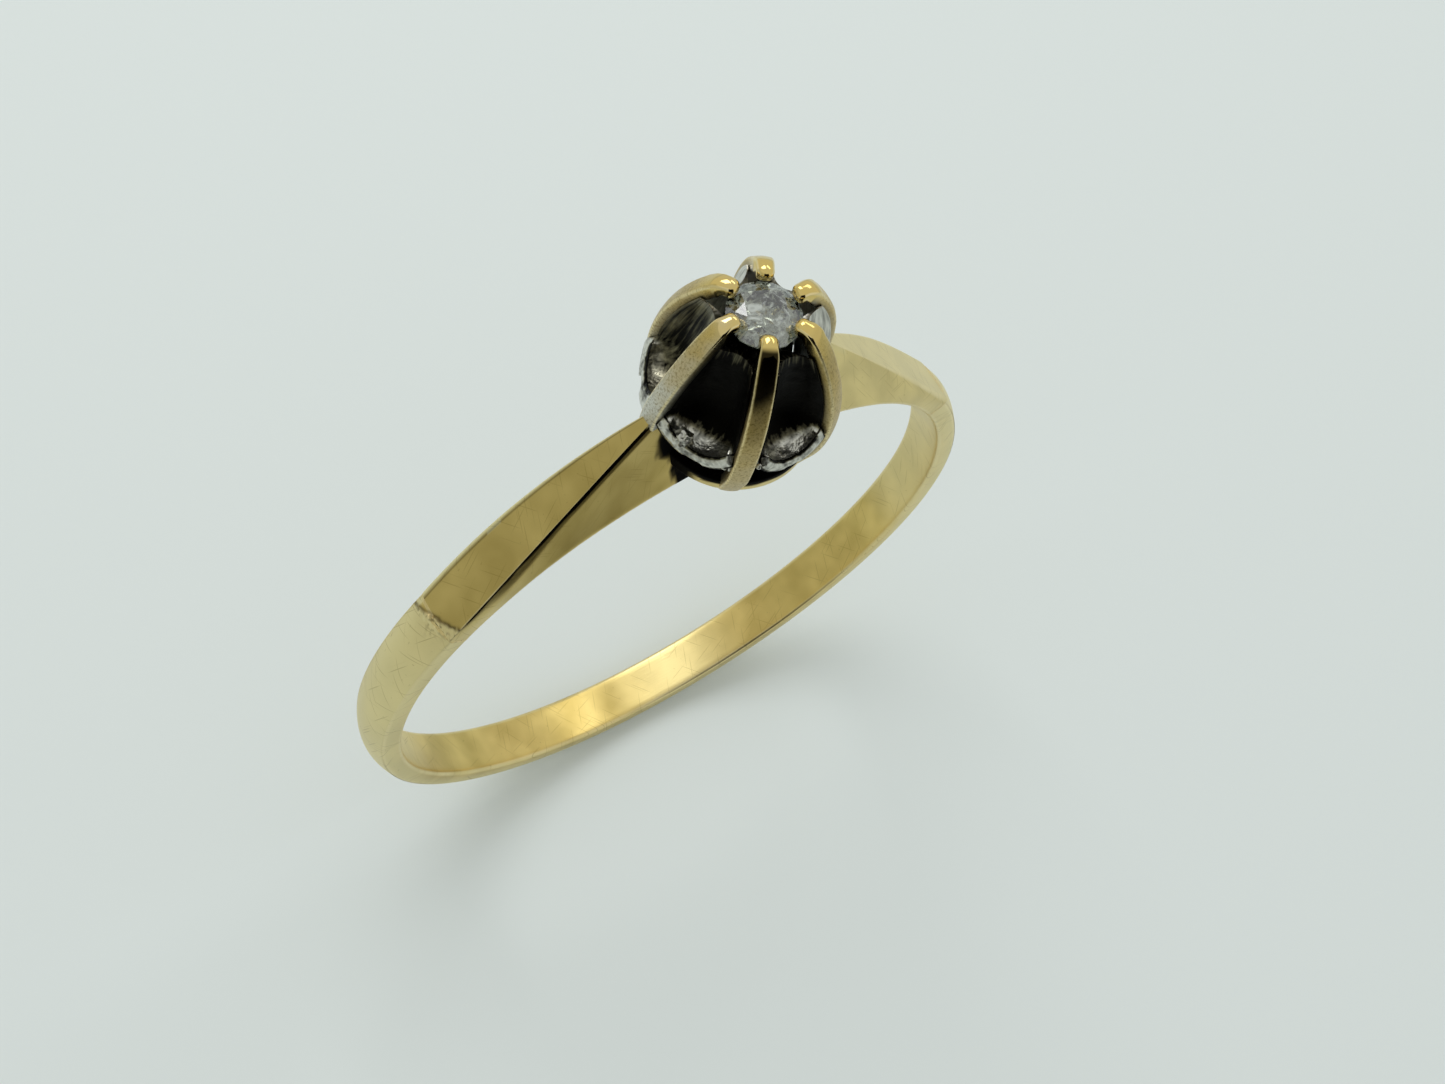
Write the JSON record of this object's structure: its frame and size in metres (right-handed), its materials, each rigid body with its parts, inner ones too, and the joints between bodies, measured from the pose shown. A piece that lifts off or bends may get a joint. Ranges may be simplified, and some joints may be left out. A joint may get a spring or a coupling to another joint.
{
  "type": "engagement ring",
  "caption": "Slim gold solitaire ring with tapered flat-topped shoulders, a claw-set flower head with fluted white petals and a small round brilliant stone.",
  "frame": {"origin": "centre of the finger hole, half way across the band", "axes": "+Y along the finger hole, +Z from the finger towards the stone, X across the two shoulders"},
  "size_m": [0.0188, 0.0044, 0.0232],
  "materials": {
    "yellow_gold": "polished and worn yellow gold with fine scratches",
    "claw_gold": "yellow gold, polished at the tips and dull on the shafts",
    "gold_solder": "filed gold solder, slightly paler than the band",
    "white_gold": "frosted white gold, darkened by tarnish in the hollows",
    "diamond": "clear faceted stone with grey inclusions"
  },
  "bodies": {
    "root": {"shank": "yellow_gold", "shoulder_left": "yellow_gold", "shoulder_right": "yellow_gold", "solder_seam_left": "gold_solder", "solder_seam_right": "gold_solder", "base_ring": "yellow_gold", "collet": "white_gold", "claw_right": "claw_gold", "claw_back_right": "claw_gold", "claw_back_left": "claw_gold", "claw_left": "claw_gold", "claw_front_left": "claw_gold", "claw_front_right": "claw_gold", "petal_right_back": "white_gold", "petal_back": "white_gold", "petal_left_back": "white_gold", "petal_left_front": "white_gold", "petal_front": "white_gold", "petal_right_front": "white_gold", "diamond": "diamond"}
  },
  "joints": []
}
